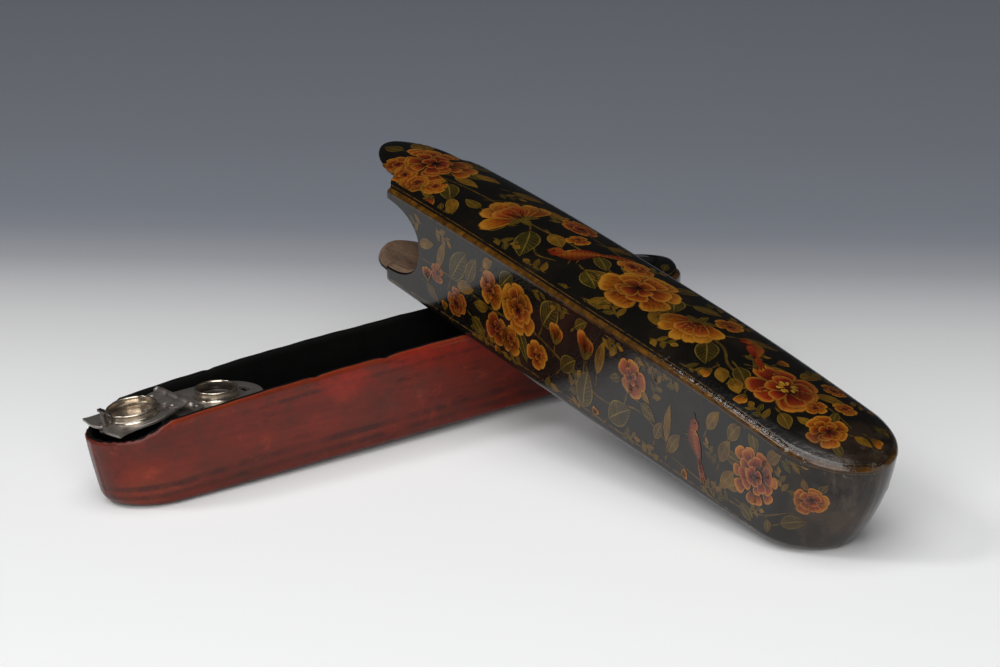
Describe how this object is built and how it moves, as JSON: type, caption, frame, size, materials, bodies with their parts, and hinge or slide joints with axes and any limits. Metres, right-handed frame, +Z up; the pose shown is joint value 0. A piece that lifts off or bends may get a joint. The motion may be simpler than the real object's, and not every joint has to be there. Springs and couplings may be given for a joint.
{
  "type": "pen box",
  "caption": "Lacquered papier-mache pen box: a painted slip case with a wavy mouth laid across its red drawer, which holds a hinged-lid metal inkwell.",
  "frame": {"origin": "on the table, under the middle of the laid-out box", "axes": "+X along the drawer from its plain end to its head, +Y the way the case's mouth points, +Z up"},
  "size_m": [0.2126, 0.2304, 0.0768],
  "materials": {
    "case_lacquer": "glossy black lacquer painted with flowers and birds",
    "drawer_lacquer": "worn cinnabar red lacquer, black inside",
    "deck_lacquer": "plain black lacquer",
    "silver": "tarnished silver"
  },
  "bodies": {
    "drawer": {"drawer_tray": "drawer_lacquer", "drawer_head": "case_lacquer", "head_deck": "deck_lacquer"},
    "case": {"case_sleeve": "case_lacquer"},
    "inkwell": {"inkwell_wall": "silver", "inkwell_floor": "silver", "inkwell_top_plate": "silver", "mouth_collar": "silver", "hinge_strap_fixed": "silver", "strap_rivets_fixed": "silver", "hinge_pin": "silver"},
    "lid": {"lid_plate": "silver", "lid_ring": "silver", "hinge_strap_lid": "silver", "strap_rivets_lid": "silver"},
    "catch": {"catch_spindle": "silver", "catch_knob": "silver"}
  },
  "joints": [
    {"name": "case_lift", "type": "slide", "parent": "drawer", "child": "case", "axis": [0, 0, 1], "range_m": [0, 0.12]},
    {"name": "inkwell_lift", "type": "slide", "parent": "drawer", "child": "inkwell", "axis": [-0.0169, 0, 0.9999], "range_m": [0, 0.05]},
    {"name": "lid_hinge", "type": "hinge", "parent": "inkwell", "child": "lid", "pos_m": [-0.07768, 0.0683, 0.02711], "axis": [0, 1, 0], "range_deg": [0, 186.5]},
    {"name": "catch_turn", "type": "hinge", "parent": "lid", "child": "catch", "pos_m": [-0.10098, 0.0683, 0.02406], "axis": [-0.13, 0, 0.9915], "range_deg": [0, 90]}
  ]
}
